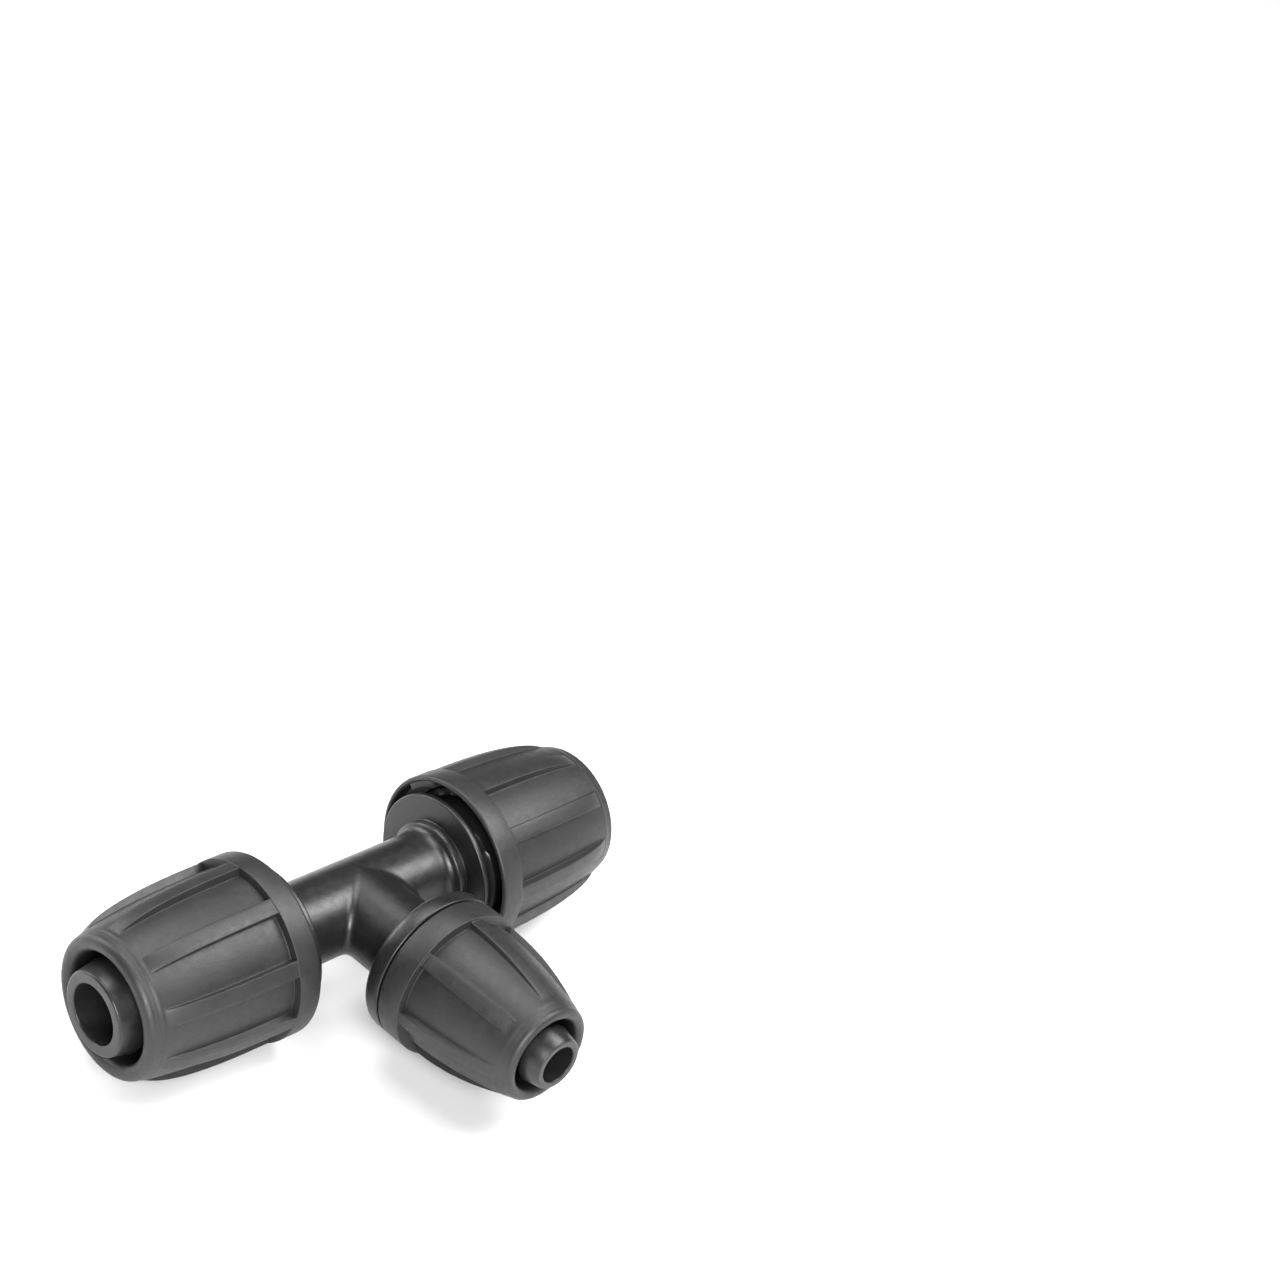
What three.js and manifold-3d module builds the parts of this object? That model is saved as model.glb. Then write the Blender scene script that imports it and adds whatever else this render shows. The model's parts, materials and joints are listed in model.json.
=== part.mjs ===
// Barbed reducing tee connector for irrigation pipe, in millimetres, +Z up.
// The straight run lies along X and the smaller branch points along -Y. The part lies on Z = 0,
// and the origin is under the middle of its bounding box.
// It is four pieces: the moulded tee body and three lock nuts that screw over its barbed spigots.
// Each outlet is designed along its own axis: a station is a distance from the crossing of the axes.

import * as THREE from 'three';
import { mergeVertices } from 'three/addons/utils/BufferGeometryUtils.js';
import Module from 'manifold-3d';

const wasm = await Module();
wasm.setup();

// ---------------------------------------------------------------- driving dimensions

const ROUND_SEGMENTS = 40; // flats around every turned surface
const CURVE_STEPS = 5; // straight pieces along a curved stretch of an outline
const EDGE_STEPS = 2; // straight pieces along a rounded edge
const SCREW_STEPS_PER_TURN = 16; // stations along one turn of a thread
const SCREW_SECTION_POINTS = 16; // corners round a thread's section, away from its ridge
const EMBED = 0.4; // how far a solid sinks into the one that it is joined to
const THREAD_CLEARANCE = 0.3; // radial gap between a nut's thread and the body's
const NUT_END_CLEARANCE = 0.4; // between the end of the threaded collar and the nut's clamping cone

// The two outlets of the run are the same, for 16 mm pipe.
const runOutlet = sizeOutlet({
  boreRadius: 4.75,
  tubeWall: 2.05,
  armLength: 16.4, // from the crossing of the axes to the back of the flange
  flareHeight: 1.2,
  flareLength: 2,
  flareLand: 1.3, // level stretch between the flare and the flange
  flangeThickness: 1.6,
  flangeLip: 0.8, // how far the flange stands out past the thread
  flangeBackEdge: 0.6,
  flangeFrontEdge: 0.4,
  collarLength: 15, // the threaded stretch in front of the flange
  collarWall: 4,
  threadHeight: 1.2,
  threadLead: 6,
  ridgeCrest: 0.9,
  ridgeFlank: 0.45,
  stemWall: 1.45,
  barbHeight: 1.1,
  barbLength: 3.9,
  barbPitch: 5.1,
  barbCount: 2,
  tipWall: 1.8,
  tipEdge: 0.35,
  spigotLength: 15.5, // from the collar to the end face
});

// The branch is for 8/11 mm hose, and its tube is as wide as the run's.
const branchOutlet = sizeOutlet({
  boreRadius: 3,
  tubeWall: 3.8,
  armLength: 16.3,
  flareHeight: 1.4,
  flareLength: 2,
  flareLand: 0.3,
  flangeThickness: 3.35,
  flangeLip: 3,
  flangeBackEdge: 1.4,
  flangeFrontEdge: 0.25,
  collarLength: 11.4,
  collarWall: 4.15,
  threadHeight: 1,
  threadLead: 5.5,
  ridgeCrest: 0.8,
  ridgeFlank: 0.4,
  stemWall: 0.95,
  barbHeight: 0.9,
  barbLength: 3.3,
  barbPitch: 4.4,
  barbCount: 2,
  tipWall: 1.15,
  tipEdge: 0.3,
  spigotLength: 15.15,
});

const runNut = sizeNut(runOutlet, {
  gapToFlange: 0.5,
  length: 28.2,
  rimLength: 3.95,
  rimEdge: 0.5,
  rimStep: 0.12, // the ribs start this far below the rim
  skirtGap: 1.5, // between the flange and the skirt that can pass over it
  skirtWall: 0.9,
  skirtDepth: 2.8,
  skirtChamfer: 1,
  pocketWall: 1.4, // left between a pocket's floor and the thread
  floorFullness: 0.62,
  ribFullness: 0.8,
  ribCount: 9,
  ribWidth: 2.6,
  noseLength: 2.7, // from where the ribs fade out to the front of the nut
  noseDrop: 2.95, // how much lower the surface is there than at the rim
  hoseGap: 1.35, // between the barbs and the mouth
  lipRadius: 1.3,
  hasStopLug: true,
});

const branchNut = sizeNut(branchOutlet, {
  gapToFlange: 0.3,
  length: 24,
  rimLength: 4.4,
  rimEdge: 0.3,
  rimStep: 0.4,
  skirtGap: -1.5, // this nut stops behind its flange, so its skirt is only a relief in the rim
  skirtWall: 1.5,
  skirtDepth: 1.2,
  skirtChamfer: 0.6,
  pocketWall: 1.3,
  floorFullness: 0.45,
  ribFullness: 0.5,
  ribCount: 7,
  ribWidth: 2.4,
  noseLength: 2.95,
  noseDrop: 3.6,
  hoseGap: 1.15,
  lipRadius: 0.95,
  hasStopLug: false,
});

const LUG_ARC_DEG = 26;
const LUG_DEPTH = 1.8;
const LUG_INSET = 0.3; // from the nut's rear face
const LUG_CLEARANCE = 0.35; // between the lug and the flange that it can pass over

// How far each nut has been turned, with its first rib straight up at 0.
const LEFT_TURN_DEG = 13;
const RIGHT_TURN_DEG = 5.5;
const BRANCH_TURN_DEG = -8;

const bodyMaterial = new THREE.MeshStandardMaterial({ color: 0x3b3b3d, roughness: 0.42, metalness: 0 });
const nutMaterial = new THREE.MeshStandardMaterial({ color: 0x444446, roughness: 0.55, metalness: 0 });

// ---------------------------------------------------------------- sizes that follow

function sizeOutlet(given) {
  const stemRadius = given.boreRadius + given.stemWall;
  const coreRadius = stemRadius + given.collarWall;
  const crestRadius = coreRadius + given.threadHeight;
  const tubeRadius = given.boreRadius + given.tubeWall;
  const flangeFront = given.armLength + given.flangeThickness;
  const collarEnd = flangeFront + given.collarLength;
  return {
    ...given,
    stemRadius,
    coreRadius,
    crestRadius,
    tubeRadius,
    flangeFront,
    collarEnd,
    flareRadius: tubeRadius + given.flareHeight,
    flangeRadius: crestRadius + given.flangeLip,
    barbRadius: stemRadius + given.barbHeight,
    tipRadius: given.boreRadius + given.tipWall,
    reach: collarEnd + given.spigotLength,
  };
}

// A nut's stations are measured from the crossing of the axes too, so that it fits its outlet.
function sizeNut(outlet, given) {
  const rear = outlet.flangeFront + given.gapToFlange;
  const front = rear + given.length;
  const skirtRadius = outlet.flangeRadius + given.skirtGap;
  const rimRadius = skirtRadius + given.skirtWall;
  const grooveRadius = outlet.crestRadius + THREAD_CLEARANCE;
  const mouthRadius = outlet.barbRadius + given.hoseGap;
  return {
    ...given,
    rear,
    front,
    skirtRadius,
    rimRadius,
    grooveRadius,
    mouthRadius,
    crestRadius: outlet.coreRadius + THREAD_CLEARANCE,
    rimFront: rear + given.rimLength,
    floorRadius: grooveRadius + given.pocketWall,
    ribRadius: rimRadius - given.rimStep,
    noseRadius: rimRadius - given.noseDrop,
    noseStation: front - given.noseLength,
    threadEnd: outlet.collarEnd + NUT_END_CLEARANCE,
  };
}

// ---------------------------------------------------------------- outlines and solids

const radians = THREE.MathUtils.degToRad;

// Points are [radius, station] pairs, and angles run from the radial direction to the axial one.
function arc(radius, station, size, fromDeg, toDeg, steps) {
  return Array.from({ length: steps + 1 }, (_, i) => {
    const angle = radians(fromDeg + ((toDeg - fromDeg) * i) / steps);
    return [radius + size * Math.cos(angle), station + size * Math.sin(angle)];
  });
}

// A swelling line from one point to another. It leaves the first one level, and stays high for longer
// with more fullness, which is a share of the way from 0 to 1.
function barrelLine([fromRadius, fromStation], [toRadius, toStation], fullness) {
  const middle = new THREE.Vector2(fromRadius, fromStation + fullness * (toStation - fromStation));
  const start = new THREE.Vector2(fromRadius, fromStation);
  const end = new THREE.Vector2(toRadius, toStation);
  return new THREE.QuadraticBezierCurve(start, middle, end).getPoints(CURVE_STEPS).map((p) => [p.x, p.y]);
}

// Turns an outline about the Z axis, with the station as Z.
function turned(outline) {
  const points = outline.map(([radius, station]) => new THREE.Vector2(radius, station));
  return new THREE.LatheGeometry(points, ROUND_SEGMENTS).rotateX(Math.PI / 2);
}

function solidOf(geometry) {
  geometry.deleteAttribute('normal');
  geometry.deleteAttribute('uv');
  const merged = mergeVertices(geometry, 1e-4);
  const triangles = [];
  for (let i = 0; i < merged.index.count; i += 3) {
    const [a, b, c] = [0, 1, 2].map((k) => merged.index.getX(i + k));
    if (a !== b && b !== c && c !== a) triangles.push(a, b, c);
  }
  const vertProperties = new Float32Array(merged.attributes.position.array);
  const triVerts = new Uint32Array(triangles);
  return new wasm.Manifold(new wasm.Mesh({ numProp: 3, vertProperties, triVerts }));
}

function geometryOf(solid) {
  const mesh = solid.getMesh();
  const geometry = new THREE.BufferGeometry();
  geometry.setAttribute('position', new THREE.BufferAttribute(mesh.vertProperties, 3));
  geometry.setIndex(new THREE.BufferAttribute(mesh.triVerts, 1));
  geometry.computeVertexNormals();
  return geometry;
}

// A turned ring of one width, with its ends square.
function ringOutline(innerRadius, outerRadius, fromStation, toStation) {
  const corners = [
    [innerRadius, fromStation],
    [outerRadius, fromStation],
    [outerRadius, toStation],
    [innerRadius, toStation],
  ];
  return [...corners, corners[0]];
}

// A solid round the axis with one helical lobe or notch: its section is drawn out and twisted by the lead.
// It is plainRadius wide except over the ridge, where it is ridgeRadius wide.
function screwSolid(outlet, plainRadius, ridgeRadius, fromStation, toStation, ridgeAtDeg) {
  const crestHalf = (180 * outlet.ridgeCrest) / outlet.threadLead;
  const footHalf = crestHalf + (360 * outlet.ridgeFlank) / outlet.threadLead;
  const plainStep = (360 - 2 * footHalf) / SCREW_SECTION_POINTS;
  const plain = Array.from({ length: SCREW_SECTION_POINTS - 1 }, (_, i) => footHalf + plainStep * (i + 1));
  const section = [-footHalf, -crestHalf, 0, crestHalf, footHalf, ...plain].map((deg) => {
    const radius = Math.abs(deg) <= crestHalf ? ridgeRadius : plainRadius;
    const angle = radians(deg + ridgeAtDeg);
    return new THREE.Vector2(radius * Math.cos(angle), radius * Math.sin(angle));
  });
  const depth = toStation - fromStation;
  const steps = Math.ceil((depth / outlet.threadLead) * SCREW_STEPS_PER_TURN);
  const geometry = new THREE.ExtrudeGeometry(new THREE.Shape(section), { depth, steps, bevelEnabled: false });
  const position = geometry.attributes.position;
  const point = new THREE.Vector3();
  const axis = new THREE.Vector3(0, 0, 1);
  for (let i = 0; i < position.count; i += 1) {
    point.fromBufferAttribute(position, i);
    point.z += fromStation;
    point.applyAxisAngle(axis, (2 * Math.PI * point.z) / outlet.threadLead);
    position.setXYZ(i, point.x, point.y, point.z);
  }
  return solidOf(geometry);
}

// ---------------------------------------------------------------- the tee body

// One outlet from the crossing of the axes to its end face, without its bore and thread.
function outletOutline(o) {
  const barbs = [];
  for (let i = o.barbCount - 1; i >= 0; i -= 1) {
    const noseStation = i === 0 ? o.reach - o.tipEdge : o.reach - i * o.barbPitch;
    const noseRadius = i === 0 ? o.tipRadius : o.stemRadius;
    const shoulder = o.reach - i * o.barbPitch - o.barbLength;
    barbs.push([o.stemRadius, shoulder], [o.barbRadius, shoulder], [noseRadius, noseStation]);
  }
  const back = o.flangeBackEdge;
  const lead = o.flangeFrontEdge;
  const chamfer = o.threadHeight / 2;
  return [
    [0, 0],
    [o.tubeRadius, 0],
    [o.tubeRadius, o.armLength - o.flareLand - o.flareLength],
    [o.flareRadius, o.armLength - o.flareLand],
    [o.flareRadius, o.armLength],
    ...arc(o.flangeRadius - back, o.armLength + back, back, -90, 0, EDGE_STEPS),
    ...arc(o.flangeRadius - lead, o.flangeFront - lead, lead, 0, 90, EDGE_STEPS),
    [o.coreRadius, o.flangeFront],
    [o.coreRadius, o.collarEnd - chamfer],
    [o.coreRadius - chamfer, o.collarEnd],
    ...barbs,
    [o.tipRadius - o.tipEdge, o.reach],
    [0, o.reach],
  ];
}

function outletThread(o) {
  const from = o.flangeFront + o.ridgeCrest;
  const to = o.collarEnd - o.threadHeight;
  const ring = solidOf(turned(ringOutline(o.coreRadius - EMBED, o.crestRadius, from, to)));
  return ring.intersect(screwSolid(o, o.coreRadius - 2 * EMBED, o.crestRadius + EMBED, from, to, 0));
}

function outletBore(o) {
  return new THREE.CylinderGeometry(o.boreRadius, o.boreRadius, o.reach + 2 * EMBED, ROUND_SEGMENTS)
    .rotateX(Math.PI / 2)
    .translate(0, 0, o.reach / 2);
}

// The frame of an outlet: its Z points out of the fitting and its X points up.
function outletFrame(outward) {
  const up = new THREE.Vector3(0, 0, 1);
  return new THREE.Matrix4().makeBasis(up, outward.clone().cross(up), outward);
}

const left = new THREE.Vector3(-1, 0, 0);
const right = new THREE.Vector3(1, 0, 0);
const forward = new THREE.Vector3(0, -1, 0);

const ends = [
  { outlet: runOutlet, frame: outletFrame(left), turn: LEFT_TURN_DEG },
  { outlet: runOutlet, frame: outletFrame(right), turn: RIGHT_TURN_DEG },
  { outlet: branchOutlet, frame: outletFrame(forward), turn: BRANCH_TURN_DEG },
];

function teeBody() {
  const outside = ends.flatMap(({ outlet, frame, turn }) => [
    solidOf(turned(outletOutline(outlet)).applyMatrix4(frame)),
    solidOf(geometryOf(outletThread(outlet)).rotateZ(radians(turn)).applyMatrix4(frame)),
  ]);
  const bores = ends.map(({ outlet, frame }) => solidOf(outletBore(outlet).applyMatrix4(frame)));
  const joined = outside.reduce((whole, piece) => whole.add(piece));
  return bores.reduce((whole, bore) => whole.subtract(bore), joined);
}

// ---------------------------------------------------------------- the lock nuts

// The nut without its ribs and thread, as one closed ring.
function nutOutline(n) {
  const edge = n.rimEdge;
  const floor = barrelLine([n.floorRadius, n.rimFront], [n.noseRadius, n.noseStation], n.floorFullness);
  const lip = arc(n.mouthRadius + n.lipRadius, n.front - n.lipRadius, n.lipRadius, 0, 180, 2 * EDGE_STEPS);
  const ring = [
    [n.skirtRadius, n.rear],
    ...arc(n.rimRadius - edge, n.rear + edge, edge, -90, 0, EDGE_STEPS),
    [n.rimRadius, n.rimFront],
    ...floor,
    ...lip,
    [n.mouthRadius, n.front - 2 * n.lipRadius],
    [n.grooveRadius, n.threadEnd],
    [n.grooveRadius, n.rear + n.skirtDepth + n.skirtChamfer],
    [n.skirtRadius, n.rear + n.skirtDepth],
  ];
  return [...ring, ring[0]];
}

// The barrel that the ribs are cut from. It starts inside the rim and meets the floor at the nose.
function ribEnvelope(n) {
  const top = barrelLine([n.ribRadius, n.rimFront], [n.noseRadius, n.noseStation], n.ribFullness);
  const under = (n.grooveRadius + n.floorRadius) / 2;
  const noseUnder = n.mouthRadius + n.lipRadius;
  const ring = [
    [under, n.rimFront - EMBED],
    [n.ribRadius, n.rimFront - EMBED],
    ...top,
    [noseUnder, n.noseStation],
    [under, n.threadEnd],
  ];
  return [...ring, ring[0]];
}

function ribBlade(n, index) {
  const height = n.rimRadius;
  const length = n.length;
  return new THREE.BoxGeometry(height, n.ribWidth, length)
    .translate(height / 2 + EMBED, 0, n.rear + length / 2)
    .rotateZ((2 * Math.PI * index) / n.ribCount);
}

// A short lug inside the skirt, behind the last rib.
function stopLug(n, outlet) {
  const half = radians(LUG_ARC_DEG / 2);
  const shape = new THREE.Shape();
  shape.absarc(0, 0, n.skirtRadius + EMBED, -half, half, false);
  shape.absarc(0, 0, outlet.flangeRadius + LUG_CLEARANCE, half, -half, true);
  return new THREE.ExtrudeGeometry(shape, { depth: LUG_DEPTH, bevelEnabled: false, curveSegments: 3 })
    .translate(0, 0, n.rear + LUG_INSET)
    .rotateZ((-2 * Math.PI) / n.ribCount);
}

// The ridge stands half a turn from the body's, so it runs in the middle of the body's groove.
function nutThread(n, outlet) {
  const from = n.rear + n.skirtDepth + n.skirtChamfer;
  const ring = solidOf(turned(ringOutline(n.crestRadius, n.grooveRadius + EMBED, from, n.threadEnd)));
  const [wide, narrow] = [n.grooveRadius + 2 * EMBED, n.crestRadius - EMBED];
  return ring.subtract(screwSolid(outlet, wide, narrow, from - EMBED, n.threadEnd + EMBED, 180));
}

function lockNut(n, outlet) {
  const blades = Array.from({ length: n.ribCount }, (_, i) => solidOf(ribBlade(n, i)));
  const ribs = solidOf(turned(ribEnvelope(n))).intersect(blades.reduce((all, blade) => all.add(blade)));
  const nut = solidOf(turned(nutOutline(n))).add(ribs).add(nutThread(n, outlet));
  return n.hasStopLug ? nut.add(solidOf(stopLug(n, outlet))) : nut;
}

// ---------------------------------------------------------------- the assembly

const crossing = new THREE.Vector3(0, (branchOutlet.reach - runNut.rimRadius) / 2, runNut.rimRadius);

const tee = new THREE.Group();
tee.position.copy(crossing);

function addPiece(name, solid, material, frame = new THREE.Matrix4(), turnDeg = 0) {
  const mesh = new THREE.Mesh(geometryOf(solid), material);
  mesh.name = name;
  mesh.quaternion.setFromRotationMatrix(frame);
  mesh.rotateZ(radians(turnDeg));
  tee.add(mesh);
}

const runNutSolid = lockNut(runNut, runOutlet);
const branchNutSolid = lockNut(branchNut, branchOutlet);

addPiece('tee_body', teeBody(), bodyMaterial);
addPiece('lock_nut_left', runNutSolid, nutMaterial, ends[0].frame, LEFT_TURN_DEG);
addPiece('lock_nut_right', runNutSolid, nutMaterial, ends[1].frame, RIGHT_TURN_DEG);
addPiece('lock_nut_branch', branchNutSolid, nutMaterial, ends[2].frame, BRANCH_TURN_DEG);

const part = new THREE.Group();
part.add(tee);

export default part;
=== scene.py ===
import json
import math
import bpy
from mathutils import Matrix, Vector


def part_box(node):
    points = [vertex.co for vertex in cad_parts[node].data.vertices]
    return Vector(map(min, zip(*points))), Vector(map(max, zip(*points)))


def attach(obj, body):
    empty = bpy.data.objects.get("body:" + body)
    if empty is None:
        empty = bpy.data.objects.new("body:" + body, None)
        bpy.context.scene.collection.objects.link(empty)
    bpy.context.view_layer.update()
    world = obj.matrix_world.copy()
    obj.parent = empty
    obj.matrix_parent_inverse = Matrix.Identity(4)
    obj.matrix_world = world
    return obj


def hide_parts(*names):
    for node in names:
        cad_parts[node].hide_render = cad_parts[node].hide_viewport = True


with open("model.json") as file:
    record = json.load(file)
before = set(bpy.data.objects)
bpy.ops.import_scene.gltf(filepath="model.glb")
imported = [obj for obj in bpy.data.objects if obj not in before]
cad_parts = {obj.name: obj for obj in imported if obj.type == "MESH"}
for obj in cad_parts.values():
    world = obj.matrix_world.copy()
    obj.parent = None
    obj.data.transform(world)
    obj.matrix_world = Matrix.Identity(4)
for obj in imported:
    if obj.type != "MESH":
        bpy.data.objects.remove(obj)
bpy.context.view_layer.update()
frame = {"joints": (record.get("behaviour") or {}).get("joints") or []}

# The looks of the barbed tee connector. Its four mouldings are rebuilt in fine mesh work over the CAD
# frame: the tee body with its filleted junction, and three ribbed lock nuts. Shapes are worked out in
# millimetres in each outlet's own coordinates, where a station is the distance from the crossing of the
# axes along the outlet, and they are placed in the frame in metres at the end.

from types import SimpleNamespace

import bmesh
import bpy
import numpy as np
from mathutils import Matrix, Vector

MM = 0.001

# ------------------------------------------------------------------ places taken from the frame

crossing = Vector(frame["joints"][0]["pos_m"])
tee_low, tee_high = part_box("tee_body")
nut_low, nut_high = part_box("lock_nut_right")
branch_low, branch_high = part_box("lock_nut_branch")

UP = Vector((0, 0, 1))
LEFT = Vector((-1, 0, 0))
RIGHT = Vector((1, 0, 0))
FORWARD = Vector((0, -1, 0))

# ------------------------------------------------------------------ the camera

CAMERA_AZIMUTH = math.radians(38.63)
CAMERA_ELEVATION = math.radians(30.04)
CAMERA_ROLL = math.radians(11.23)
CAMERA_DISTANCE = 0.388
CAMERA_LENS = 70.25
CAMERA_ASIDE = Vector((-0.04443, -0.04061))  # right and up, from the middle of the view to the crossing


def add_camera():
    """The camera looks down on the near end of the run, with the fitting low and left in the view."""
    towards = Vector(
        (
            -math.cos(CAMERA_ELEVATION) * math.cos(CAMERA_AZIMUTH),
            -math.cos(CAMERA_ELEVATION) * math.sin(CAMERA_AZIMUTH),
            math.sin(CAMERA_ELEVATION),
        )
    )
    level_right = (-towards).cross(UP).normalized()
    level_up = level_right.cross(-towards)
    turn, tilt = math.cos(CAMERA_ROLL), math.sin(CAMERA_ROLL)
    right = turn * level_right + tilt * level_up
    up = turn * level_up - tilt * level_right
    place = crossing + towards * CAMERA_DISTANCE - right * CAMERA_ASIDE.x - up * CAMERA_ASIDE.y
    camera = bpy.data.objects.new("camera", bpy.data.cameras.new("camera"))
    camera.data.lens = CAMERA_LENS
    camera.data.sensor_width = 36
    camera.data.clip_start = 0.01
    camera.data.clip_end = 20
    camera.matrix_world = Matrix.Translation(place) @ Matrix((right, up, towards)).transposed().to_4x4()
    bpy.context.collection.objects.link(camera)
    bpy.context.scene.camera = camera


add_camera()

# ------------------------------------------------------------------ sizes, in millimetres

AROUND = 144  # columns round the tee body
THREAD_ROW = 0.22  # between rows along a thread
JUNCTION_ROWS = 30  # from the tubes' crossing to a flare, closer together at the crossing
FLARE_HOLLOW = 2.6  # more makes a flare rise later and more steeply
FLARE_SHARES = (0.25, 0.45, 0.6, 0.72, 0.8)  # where a flare's rows stand along it

run = SimpleNamespace(
    bore=4.75, tube=6.8, flare_start=13.1, flare_end=15.1, flare=8.0, step=0.12, flange_back=16.4,
    flange_front=18.0, flange=12.2, back_edge=0.3, front_edge=0.9,
    core=10.2, crest=11.4, collar_end=33.0, lead=6.0, ridge_crest=0.9, ridge_flank=0.45,
    stem=6.2, barb=7.3, barb_length=3.9, barb_pitch=5.1, tip=6.55, tip_edge=0.35,
    reach=tee_high.x / MM,
)
branch = SimpleNamespace(
    bore=3.0, tube=6.8, flare_start=14.0, flare_end=16.0, flare=8.2, step=0.0, flange_back=16.3,
    flange_front=19.65, flange=12.1, back_edge=1.4, front_edge=0.25,
    core=8.1, crest=9.1, collar_end=31.05, lead=5.5, ridge_crest=0.8, ridge_flank=0.4,
    stem=3.95, barb=4.85, barb_length=3.3, barb_pitch=4.4, tip=4.15, tip_edge=0.3,
    reach=(crossing.y - tee_low.y) / MM,
)
run_nut = SimpleNamespace(
    outlet=run, rear=nut_low.x / MM, front=nut_high.x / MM, rim=(nut_high.z - nut_low.z) / 2 / MM,
    rim_length=3.95, rim_edge=0.5, skirt=13.7, skirt_depth=2.8, skirt_chamfer=1.0,
    ribs=9, rib_width=2.6, rib_start=14.46, rib_fullness=0.8, nose=11.65, nose_length=2.7,
    floor_start=13.1, floor_fullness=0.62, mouth=8.65, lip=1.3, lip_groove=0.07, lug=True,
)
branch_nut = SimpleNamespace(
    outlet=branch, rear=(crossing.y - branch_high.y) / MM, front=(crossing.y - branch_low.y) / MM,
    rim=(branch_high.x - branch_low.x) / 2 / MM,
    rim_length=4.4, rim_edge=0.3, skirt=10.6, skirt_depth=1.2, skirt_chamfer=0.6,
    ribs=7, rib_width=2.4, rib_start=11.7, rib_fullness=0.5, nose=8.5, nose_length=2.95,
    floor_start=10.7, floor_fullness=0.45, mouth=6.0, lip=0.95, lip_groove=0.05, lug=False,
)

JUNCTION_FILLET = 1.4  # where the tubes meet square on, getting finer towards the top and bottom
BLEND_PER_FILLET = 1.17  # the width of a blend that rounds a square corner like a fillet of 1 mm
MOUTH_EDGE = 0.2  # rounding at a bore's mouth
THREAD_GAP = 0.3
COLLAR_GAP = 0.4  # between the end of the collar and the nut's cone
EDGE = 0.11  # rounding on the ribs' and pockets' edges
DRAFT = 0.03  # how far a pocket's wall leans
RIB_TOP_COLUMNS = 4
FLOOR_COLUMNS = 12
BARREL_ROWS = 30
NOSE_SWELL = 0.08  # how far a nose bulges between the ribs' end and the lip
LIP_GROOVE_AT, LIP_GROOVE_SPREAD = 0.6, 0.2  # shares of the way along the nose
LUG_ARC = math.radians(26)
LUG_DEPTH = 1.8
LUG_INSET = 0.3
LUG_GAP = 0.35

TURNS = {"left": math.radians(13), "right": math.radians(5.5), "branch": math.radians(-8)}

# ------------------------------------------------------------------ mesh helpers


def arc(radius, station, size, from_deg, to_deg, steps=5):
    """Points (radius, station) on an arc. Angles run from the radial direction to the axial one."""
    angles = np.radians(np.linspace(from_deg, to_deg, steps + 1))
    return [(radius + size * math.cos(a), station + size * math.sin(a)) for a in angles]


def barrel(start, end, fullness, share):
    """A swelling line that leaves start level: its (radius, station) at a share of the way."""
    (r0, s0), (r1, s1) = start, end
    middle = s0 + fullness * (s1 - s0)
    radius = r0 * (1 - share**2) + r1 * share**2
    station = s0 * (1 - share) ** 2 + 2 * middle * share * (1 - share) + s1 * share**2
    return radius, station


def ridge_height(outlet, angle, station, at):
    """1 on a thread's crest, 0 between its turns, for a right-hand ridge that passes the angle at."""
    off = (angle - at) / (2 * math.pi) - station / outlet.lead
    distance = np.abs(off - np.round(off)) * outlet.lead
    return np.clip(1 - (distance - outlet.ridge_crest / 2) / outlet.ridge_flank, 0, 1)


def fade(station, start, end, length=1.0):
    """1 between start and end, and 0 at and past them."""
    rise = np.clip((station - start) / length, 0, 1) * np.clip((end - station) / length, 0, 1)
    return rise * rise * (3 - 2 * rise)


def to_frame(radius, angle, station, outward):
    """Points of an outlet's own coordinates in the frame, in metres."""
    side = outward.cross(UP)
    up, side, out = (np.array(v) for v in (UP, side, outward))
    local = (radius * np.cos(angle))[..., None] * up + (radius * np.sin(angle))[..., None] * side
    return np.array(crossing) + MM * (local + (station * np.ones_like(radius))[..., None] * out)


def grid_faces(rows, columns, closed_rows, first=0):
    """Quads between the rows of a grid that is closed round its columns."""
    faces = []
    for i in range(rows if closed_rows else rows - 1):
        for j in range(columns):
            i2, j2 = (i + 1) % rows, (j + 1) % columns
            faces.append([first + i * columns + j, first + i * columns + j2,
                          first + i2 * columns + j2, first + i2 * columns + j])
    return faces


def make_object(name, points, faces):
    """A closed mesh with its faces turned outwards."""
    mesh = bpy.data.meshes.new(name)
    mesh.from_pydata(points.tolist(), [], faces)
    work = bmesh.new()
    work.from_mesh(mesh)
    bmesh.ops.remove_doubles(work, verts=work.verts, dist=1e-7)
    bmesh.ops.recalc_face_normals(work, faces=work.faces)
    work.to_mesh(mesh)
    work.free()
    piece = bpy.data.objects.new(name, mesh)
    bpy.context.collection.objects.link(piece)
    return piece


def combine(piece, tool, operation):
    """Joins the tool to the piece, or cuts it away, and removes the tool."""
    modifier = piece.modifiers.new(operation.lower(), "BOOLEAN")
    modifier.operation = operation
    modifier.solver = "EXACT"
    modifier.object = tool
    shape = bpy.data.meshes.new_from_object(piece.evaluated_get(bpy.context.evaluated_depsgraph_get()))
    piece.modifiers.clear()
    piece.data = shape
    bpy.data.objects.remove(tool)


def finish_piece(piece, body, node, material):
    """Shades the piece and lets it stand for its CAD node."""
    piece.data.shade_smooth()
    piece.data.set_sharp_from_angle(angle=math.radians(38))
    piece.data.materials.clear()
    piece.data.materials.append(material)
    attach(piece, body)
    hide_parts(node)


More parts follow.
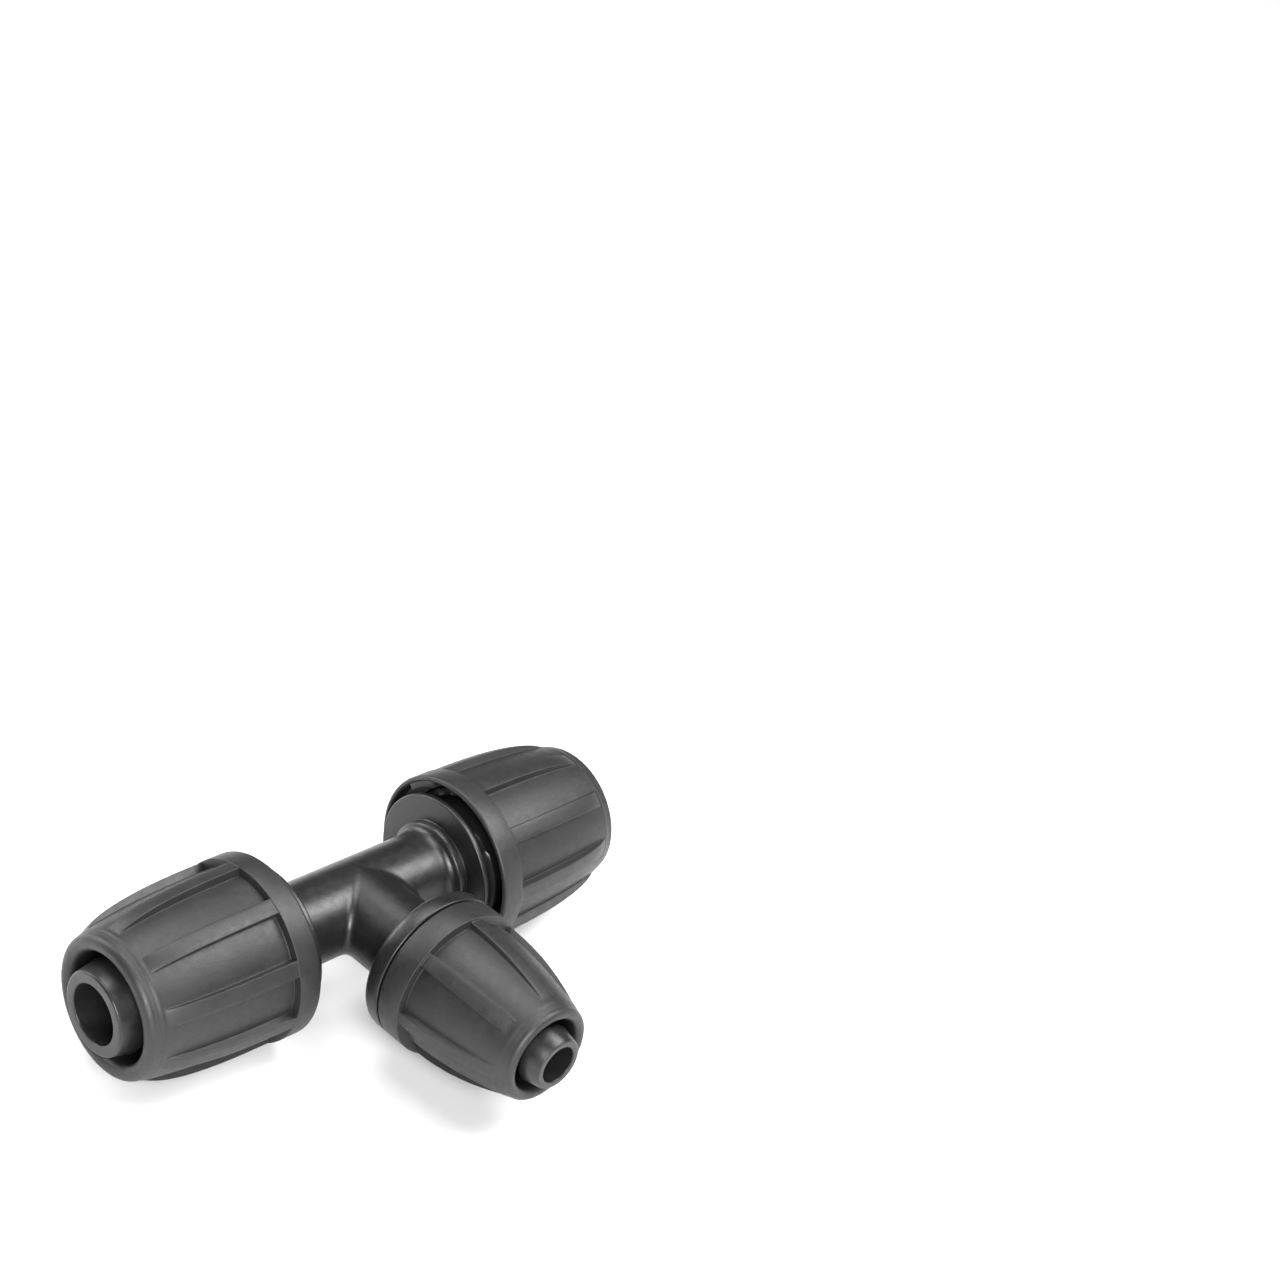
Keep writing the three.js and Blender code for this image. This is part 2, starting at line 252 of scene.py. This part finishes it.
def turned_tool(name, outline, outward):
    """A solid of revolution whose outline starts and ends on the axis."""
    angle = np.linspace(0, 2 * math.pi, AROUND, endpoint=False)
    inner = outline[1:-1]
    rows = [to_frame(np.full(AROUND, r), angle, np.full(AROUND, s), outward) for r, s in inner]
    ends = [to_frame(np.zeros(1), np.zeros(1), np.full(1, outline[i][1]), outward) for i in (0, -1)]
    points = np.concatenate([np.concatenate(rows), *ends])
    faces = grid_faces(len(inner), AROUND, False)
    start, end = len(points) - 2, len(points) - 1
    last = (len(inner) - 1) * AROUND
    for j in range(AROUND):
        j2 = (j + 1) % AROUND
        faces += [[start, j2, j], [end, last + j, last + j2]]
    return make_object(name, points, faces)


# ------------------------------------------------------------------ the tee body


def junction_rows(outlet, outward):
    """A tube from where it meets the others to its flare, with a fillet where the tubes cross."""
    angle = np.linspace(0, 2 * math.pi, AROUND, endpoint=False)
    side = np.array(outward.cross(UP))
    x, y = (outlet.tube * np.sin(angle) * side[k] for k in (0, 1))
    start = np.abs(x) if outward == FORWARD else np.maximum(0, -y)
    share = np.linspace(0, 1, JUNCTION_ROWS)[:, None] ** 1.5
    station = start + (outlet.flare_start - start) * share
    radius = np.full_like(station, outlet.tube)
    return on_fillet((to_frame(radius, angle + 0 * station, station, outward) - np.array(crossing)) / MM)


def joint_distance(p):
    """How far a point lies outside the crossing tubes, blended where they meet at an angle."""
    x, y, z = p[..., 0], p[..., 1], p[..., 2]
    across = np.hypot(y, z) - run.tube
    along = np.hypot(x, z) - branch.tube
    squareness = np.clip(1 - (z / run.tube) ** 2, 0, 1) ** 0.75
    reach = np.clip(-y / 2, 0, 1)
    blend = BLEND_PER_FILLET * JUNCTION_FILLET * squareness * reach + 1e-6
    mix = np.clip(blend - np.abs(across - along), 0, None) / blend
    in_front = np.minimum(across, along) - mix * mix * blend / 4
    return np.where(y < 0, in_front, across)


def on_fillet(p):
    """Moves points outward or inward until they lie on the blended surface."""
    nudge = 1e-4
    for _ in range(8):
        here = joint_distance(p)
        slope = np.stack(
            [(joint_distance(p + nudge * np.eye(3)[k]) - here) / nudge for k in range(3)], axis=-1
        )
        steep = np.maximum((slope**2).sum(-1), 0.25)
        p = p - (here / steep)[..., None] * slope
    return np.array(crossing) + MM * p


def outlet_outline(o):
    """(radius, station) from the flare to the end face, without the thread."""
    sweep, rise = o.flare_end - o.flare_start, o.flare - o.tube - o.step
    points = [(o.tube + rise * t**FLARE_HOLLOW, o.flare_start + sweep * t) for t in FLARE_SHARES]
    points += [
        (points[-1][0] + o.step, points[-1][1] + 0.05),
        (o.flare - 0.12, o.flare_end - 0.1),
        (o.flare, o.flare_end + 0.06),
        (o.flare, o.flange_back - 0.1),
        (o.flare + 0.1, o.flange_back),
        *arc(o.flange - o.back_edge, o.flange_back + o.back_edge, o.back_edge, -90, 0),
        *arc(o.flange - o.front_edge, o.flange_front - o.front_edge, o.front_edge, 0, 90),
        (o.core + 0.15, o.flange_front),
        (o.core, o.flange_front + 0.15),
    ]
    points += [(o.core, s) for s in np.arange(o.flange_front + 0.4, o.collar_end - 0.7, THREAD_ROW)]
    points += [(o.core, o.collar_end - 0.6), (o.core - 0.6, o.collar_end), (o.stem + 0.15, o.collar_end)]
    points += [(o.stem, o.collar_end + 0.15)]
    for barb, nose_radius in ((1, o.stem), (0, o.tip)):
        nose = o.reach - barb * o.barb_pitch
        shoulder = nose - o.barb_length
        slope = (o.barb - nose_radius) / o.barb_length
        points += [(o.stem, shoulder - 0.1), (o.stem + 0.1, shoulder), (o.barb - 0.12, shoulder)]
        points += [(o.barb, shoulder + 0.1), (nose_radius + slope * 0.4, nose - 0.4)]
    points += arc(o.tip - o.tip_edge, o.reach - o.tip_edge, o.tip_edge, 0, 90)
    return points + [(o.tip - o.tip_edge - 0.1, o.reach)]


def outlet_rows(outlet, outward, turn):
    """The outlet's rows from its flare to its end face, with the thread raised on its collar."""
    angle = np.linspace(0, 2 * math.pi, AROUND, endpoint=False)
    rows = []
    for radius, station in outlet_outline(outlet):
        height = fade(station, outlet.flange_front + 0.4, outlet.collar_end - 0.6)
        lift = height * ridge_height(outlet, angle, station, turn) * (outlet.crest - outlet.core)
        on_collar = outlet.flange_front < station < outlet.collar_end and radius == outlet.core
        rows.append(to_frame(radius + lift * on_collar, angle, station * np.ones(AROUND), outward))
    return np.array(rows)


def bore_outline(o):
    """A bore's cutter, with the small rounding at its mouth, from past the end face to the crossing."""
    mouth = arc(o.bore + MOUTH_EDGE, o.reach - MOUTH_EDGE, MOUTH_EDGE, 90, 180)
    return [(0, o.reach + 1), (o.bore + MOUTH_EDGE, o.reach + 1), *mouth, (o.bore, 0), (0, 0)]


def make_tee_body():
    points, faces = [], []
    for outlet, outward, turn in (
        (run, LEFT, TURNS["left"]),
        (run, RIGHT, TURNS["right"]),
        (branch, FORWARD, TURNS["branch"]),
    ):
        rows = np.concatenate([junction_rows(outlet, outward), outlet_rows(outlet, outward, turn)])
        first = sum(len(p) for p in points)
        points.append(rows.reshape(-1, 3))
        faces += grid_faces(len(rows), AROUND, False, first)
        last = first + (len(rows) - 1) * AROUND
        faces.append(list(range(last, last + AROUND)))
    body = make_object("tee_moulding", np.concatenate(points), faces)
    right_bore = bore_outline(run)
    left_bore = [(r, -s) for r, s in reversed(right_bore)]
    through = turned_tool("run_bore", right_bore[:-2] + left_bore[2:], RIGHT)
    combine(body, through, "DIFFERENCE")
    combine(body, turned_tool("branch_bore", bore_outline(branch), FORWARD), "DIFFERENCE")
    return body


# ------------------------------------------------------------------ the lock nuts


def step_down(drop):
    """Depths across a wall with a rounded top edge and a small fillet at its foot."""
    size = np.minimum(EDGE, drop / 2)
    return [0 * drop, 0.13 * size, 0.5 * size, size, drop - size, drop - 0.5 * size, drop - 0.13 * size, drop]


STEP_PLACES = np.array([-1, -0.5, -0.13, 0, 0, 0.13, 0.5, 1]) * EDGE + np.repeat([0, DRAFT], 4)


def nut_columns(nut):
    """For one rib and the pocket after it: each column's place beside the rib, or its share of the pocket."""
    edges = nut.rib_width / 2 + STEP_PLACES
    top = np.linspace(-edges[0], edges[0], RIB_TOP_COLUMNS + 1)[1:-1]
    floor = np.linspace(0, 1, FLOOR_COLUMNS + 1)[1:-1]
    beside = np.concatenate([-edges[::-1], top, edges])
    return beside, floor


def around_nut(nut, radius, depth):
    """Angles and radii of one row round the nut, for a rib top radius and a pocket depth."""
    beside, floor = nut_columns(nut)
    walls = np.array(step_down(np.array(float(depth))))
    sunk = np.concatenate([walls[::-1], np.zeros(RIB_TOP_COLUMNS - 1), walls, np.full(len(floor), depth)])
    pitch = 2 * math.pi / nut.ribs
    rib_angles = np.arcsin(beside / (radius if radius > nut.mouth + nut.lip else nut.rim))
    gap_start, gap_end = rib_angles[-1], pitch + rib_angles[0]
    angles = np.concatenate([rib_angles, gap_start + (gap_end - gap_start) * floor])
    every = np.concatenate([angles + i * pitch for i in range(nut.ribs)])
    return every, np.tile(sunk, nut.ribs)


def nut_rows(nut):
    """The nut's rows in order round its section, from its rear edge over the ribs and back inside."""
    rows = []
    rim_front = nut.rear + nut.rim_length
    lip_station = nut.front - nut.lip
    nose = (nut.nose, nut.front - nut.nose_length)
    ribs = (nut.rib_start, rim_front), nose, nut.rib_fullness
    floor = (nut.floor_start, rim_front), nose, nut.floor_fullness

    shares = np.linspace(0, 1, 400)
    floor_radii, floor_stations = barrel(*floor, shares)

    def plain(radius, station):
        angle, _ = around_nut(nut, radius, 0)
        rows.append((np.full_like(angle, radius), angle, station))

    for radius, station in arc(nut.rim - nut.rim_edge, nut.rear + nut.rim_edge, nut.rim_edge, -90, 0):
        plain(radius, station)
    plain(nut.rim, (nut.rear + rim_front) / 2)

    _, sunk = around_nut(nut, nut.rib_start, nut.rib_start - nut.floor_start)
    for depth, place in zip(step_down(nut.rim - nut.rib_start + sunk), STEP_PLACES):
        angle, _ = around_nut(nut, nut.rim, 0)
        rows.append((nut.rim - depth, angle, rim_front + place))

    for share in np.linspace(0, 1, BARREL_ROWS + 1)[1:]:
        radius, station = barrel(*ribs, share)
        if station > rim_front + STEP_PLACES[-1]:
            deep = max(0, radius - np.interp(station, floor_stations, floor_radii))
            angle, sunk = around_nut(nut, radius, deep)
            rows.append((radius - sunk, angle, station))

    for share in np.linspace(0, 1, 10)[1:]:
        swell = NOSE_SWELL * math.sin(math.pi * share)
        groove = nut.lip_groove * math.exp(-(((share - LIP_GROOVE_AT) / LIP_GROOVE_SPREAD) ** 2))
        radius = nut.nose + share * (nut.mouth + 2 * nut.lip - nut.nose) + swell - groove
        plain(radius, nose[1] + share * (lip_station - nose[1]))
    for radius, station in arc(nut.mouth + nut.lip, lip_station, nut.lip, 0, 180, 16)[1:]:
        plain(radius, station)

    groove_radius = nut.outlet.crest + THREAD_GAP
    thread_height = nut.outlet.crest - nut.outlet.core
    thread_end = nut.outlet.collar_end + COLLAR_GAP
    thread_start = nut.rear + nut.skirt_depth + nut.skirt_chamfer
    plain(nut.mouth, nut.front - 2 * nut.lip)
    for share in (0.1, 0.5, 0.9):
        mouth_end = nut.front - 2 * nut.lip
        plain(nut.mouth + share * (groove_radius - nut.mouth), mouth_end + share * (thread_end - mouth_end))
    for station in np.arange(thread_end, thread_start, -THREAD_ROW):
        angle, _ = around_nut(nut, groove_radius, 0)
        ridge = ridge_height(nut.outlet, angle, station, math.pi) * fade(station, thread_start, thread_end)
        rows.append((groove_radius - thread_height * ridge, angle, station))
    plain(groove_radius, thread_start)
    plain(nut.skirt, nut.rear + nut.skirt_depth)
    plain(nut.skirt, nut.rear + 0.25)
    plain(nut.skirt + 0.25, nut.rear)
    return rows


def make_lug(nut, outward, turn):
    """The stop lug inside the skirt, with its edges rounded."""
    middle = turn - 2 * math.pi / nut.ribs
    angles = np.linspace(middle - LUG_ARC / 2, middle + LUG_ARC / 2, 13)
    inner, outer = nut.outlet.flange + LUG_GAP, nut.skirt + 0.4
    low, high = nut.rear + LUG_INSET, nut.rear + LUG_INSET + LUG_DEPTH
    corners = ((inner, low), (outer, low), (outer, high), (inner, high))
    corner_radii, corner_stations = np.array(corners).T
    rows = np.array([to_frame(corner_radii, a, corner_stations, outward) for a in angles])
    faces = grid_faces(len(angles), 4, False)
    last = 4 * (len(angles) - 1)
    lug = make_object("lug", rows.reshape(-1, 3), faces + [[0, 1, 2, 3], [last + k for k in (3, 2, 1, 0)]])
    bevel = lug.modifiers.new("bevel", "BEVEL")
    bevel.width = 0.2 * MM
    bevel.segments = 2
    bevel.limit_method = "ANGLE"
    return lug


def make_nut(name, nut, outward, turn):
    rows = nut_rows(nut)
    points = np.array([to_frame(r, a + turn, s * np.ones_like(r), outward) for r, a, s in rows])
    piece = make_object(name, points.reshape(-1, 3), grid_faces(len(rows), points.shape[1], True))
    if nut.lug:
        combine(piece, make_lug(nut, outward, turn), "UNION")
    return piece


# ------------------------------------------------------------------ materials

CLOUDS, BROAD_WAVES, GLOSS_PATCHES, FINE_GRAIN = 220, 480, 900, 5200  # noise scales, per metre
WAVE_DEPTH, GRAIN_DEPTH = 0.00012, 0.00006  # metres


def plastic(name, colour, roughness, grain, mottle):
    """Moulded black plastic: soft cloudy colour, uneven gloss, and a fine moulded grain."""
    material = bpy.data.materials.new(name)
    material.use_nodes = True
    nodes, links = material.node_tree.nodes, material.node_tree.links
    shader = nodes["Principled BSDF"]
    shader.inputs["IOR"].default_value = 1.49
    shader.inputs["Specular IOR Level"].default_value = 0.5
    place = nodes.new("ShaderNodeTexCoord")

    def noise(scale, detail, rough=0.5):
        node = nodes.new("ShaderNodeTexNoise")
        node.inputs["Scale"].default_value = scale
        node.inputs["Detail"].default_value = detail
        node.inputs["Roughness"].default_value = rough
        links.new(place.outputs["Object"], node.inputs["Vector"])
        return node.outputs["Fac"]

    def spread(source, low, high):
        node = nodes.new("ShaderNodeMapRange")
        node.inputs["From Min"].default_value = 0.3
        node.inputs["From Max"].default_value = 0.7
        node.inputs["To Min"].default_value = low
        node.inputs["To Max"].default_value = high
        links.new(source, node.inputs["Value"])
        return node.outputs["Result"]

    clouds = noise(CLOUDS, 4, 0.6)
    ramp = nodes.new("ShaderNodeMix")
    ramp.data_type = "RGBA"
    ramp.inputs["A"].default_value = (*[c * (1 - mottle) for c in colour], 1)
    ramp.inputs["B"].default_value = (*[c * (1 + mottle) for c in colour], 1)
    links.new(spread(clouds, 0, 1), ramp.inputs["Factor"])
    links.new(ramp.outputs["Result"], shader.inputs["Base Color"])

    gloss = noise(GLOSS_PATCHES, 5, 0.65)
    links.new(spread(gloss, roughness - 0.06, roughness + 0.07), shader.inputs["Roughness"])

    fine = nodes.new("ShaderNodeBump")
    fine.inputs["Strength"].default_value = grain
    fine.inputs["Distance"].default_value = GRAIN_DEPTH
    links.new(noise(FINE_GRAIN, 3), fine.inputs["Height"])
    broad = nodes.new("ShaderNodeBump")
    broad.inputs["Strength"].default_value = 0.25
    broad.inputs["Distance"].default_value = WAVE_DEPTH
    links.new(noise(BROAD_WAVES, 2), broad.inputs["Height"])
    links.new(fine.outputs["Normal"], broad.inputs["Normal"])
    links.new(broad.outputs["Normal"], shader.inputs["Normal"])
    return material


# ------------------------------------------------------------------ the assembly

body_plastic = plastic("body_plastic", (0.007, 0.007, 0.0075), 0.36, 0.10, 0.12)
nut_plastic = plastic("nut_plastic", (0.012, 0.0115, 0.012), 0.47, 0.38, 0.24)

finish_piece(make_tee_body(), "tee", "tee_body", body_plastic)
left_nut = make_nut("left_nut_moulding", run_nut, LEFT, TURNS["left"])
finish_piece(left_nut, "left_nut", "lock_nut_left", nut_plastic)
right_nut = make_nut("right_nut_moulding", run_nut, RIGHT, TURNS["right"])
finish_piece(right_nut, "right_nut", "lock_nut_right", nut_plastic)
small_nut = make_nut("branch_nut_moulding", branch_nut, FORWARD, TURNS["branch"])
finish_piece(small_nut, "branch_nut", "lock_nut_branch", nut_plastic)

# ------------------------------------------------------------------ floor and light

FLOOR_HALF = 1.1  # metres
DIMMING_STARTS, DIMMING_ENDS = 0.06, 0.22  # heights in the surround: 0 is the horizon and 1 is overhead
HORIZON_STRENGTH = 1.05


def add_floor():
    mesh = bpy.data.meshes.new("floor")
    half = FLOOR_HALF
    corners = [(-half, -half, 0), (half, -half, 0), (half, half, 0), (-half, half, 0)]
    mesh.from_pydata(corners, [], [[0, 1, 2, 3]])
    floor = bpy.data.objects.new("floor", mesh)
    material = bpy.data.materials.new("floor_paper")
    material.use_nodes = True
    shader = material.node_tree.nodes["Principled BSDF"]
    shader.inputs["Base Color"].default_value = (0.80, 0.80, 0.80, 1)
    shader.inputs["Roughness"].default_value = 0.9
    mesh.materials.append(material)
    bpy.context.collection.objects.link(floor)


def add_softbox(name, place, size, power):
    """A square soft light, aimed at the fitting."""
    lamp = bpy.data.lights.new(name, "AREA")
    lamp.shape = "SQUARE"
    lamp.size = size
    lamp.energy = power
    light = bpy.data.objects.new(name, lamp)
    light.location = crossing + Vector(place)
    light.rotation_euler = (crossing - light.location).to_track_quat("-Z", "Y").to_euler()
    bpy.context.collection.objects.link(light)


def add_world(overhead):
    """A white surround that dims with height, so that the softboxes do most of the lighting."""
    world = bpy.data.worlds.new("studio")
    world.use_nodes = True
    nodes, links = world.node_tree.nodes, world.node_tree.links
    direction = nodes.new("ShaderNodeTexCoord")
    parts = nodes.new("ShaderNodeSeparateXYZ")
    dimming = nodes.new("ShaderNodeMapRange")
    dimming.inputs["From Min"].default_value = DIMMING_STARTS
    dimming.inputs["From Max"].default_value = DIMMING_ENDS
    dimming.inputs["To Min"].default_value = HORIZON_STRENGTH
    dimming.inputs["To Max"].default_value = overhead
    links.new(direction.outputs["Generated"], parts.inputs["Vector"])
    links.new(parts.outputs["Z"], dimming.inputs["Value"])
    links.new(dimming.outputs["Result"], nodes["Background"].inputs["Strength"])
    nodes["Background"].inputs["Color"].default_value = (1, 1, 1, 1)
    bpy.context.scene.world = world


add_floor()
add_world(0.05)
add_softbox("front_light", (-0.50, -0.68, 0.50), 0.5, 16)
add_softbox("overhead_light", (0.42, -0.36, 0.74), 0.5, 11)
add_softbox("top_light", (0.05, 0.25, 0.95), 0.6, 8)
add_softbox("back_light", (-0.25, 0.80, 0.45), 0.5, 6)
bpy.context.scene.view_settings.view_transform = "Standard"
